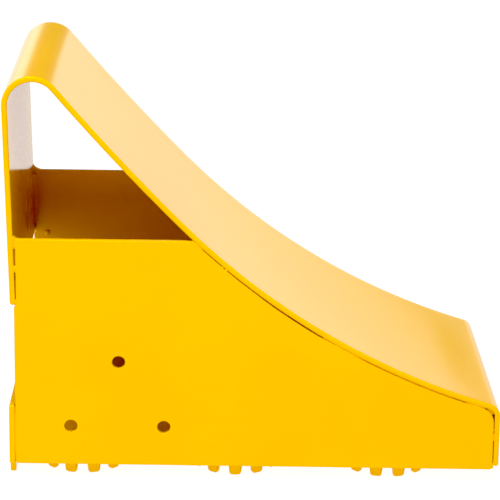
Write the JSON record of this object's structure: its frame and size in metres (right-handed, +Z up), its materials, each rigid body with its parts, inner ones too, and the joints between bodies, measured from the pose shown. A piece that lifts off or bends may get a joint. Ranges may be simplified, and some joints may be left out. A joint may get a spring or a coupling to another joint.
{
  "type": "wheel chock",
  "caption": "Fabricated steel truck wheel chock with a curved tyre face bent over into a carrying handle, an open heel, cross bolt holes and toothed ground crowns.",
  "frame": {"origin": "on the ground under the middle of the overall length and width", "axes": "+X towards the toe, where the tyre comes from; +Y to the left side; +Z up"},
  "size_m": [0.3549, 0.18, 0.295],
  "materials": {
    "yellow_powder_coat": "gloss powder coat with a light orange peel",
    "crown_powder_coat": "gloss powder coat, thinner on the teeth",
    "coated_weld": "rippled weld bead under powder coat"
  },
  "bodies": {
    "root": {"face_and_handle_sheet": "yellow_powder_coat", "side_plate_right": "yellow_powder_coat", "side_plate_left": "yellow_powder_coat", "base_plate": "yellow_powder_coat", "heel_plate": "yellow_powder_coat", "grip_crown_heel_right": "crown_powder_coat", "grip_crown_middle_right": "crown_powder_coat", "grip_crown_toe_right": "crown_powder_coat", "grip_crown_heel_left": "crown_powder_coat", "grip_crown_middle_left": "crown_powder_coat", "grip_crown_toe_left": "crown_powder_coat", "face_seam_welds_right": "coated_weld", "toe_weld_right": "coated_weld", "strap_welds_right": "coated_weld", "heel_plate_weld_right": "coated_weld", "base_plate_welds_right": "coated_weld", "face_seam_welds_left": "coated_weld", "toe_weld_left": "coated_weld", "strap_welds_left": "coated_weld", "heel_plate_weld_left": "coated_weld", "base_plate_welds_left": "coated_weld", "base_to_heel_welds": "coated_weld", "base_to_toe_welds": "coated_weld", "crown_ring_welds": "coated_weld"}
  },
  "joints": []
}
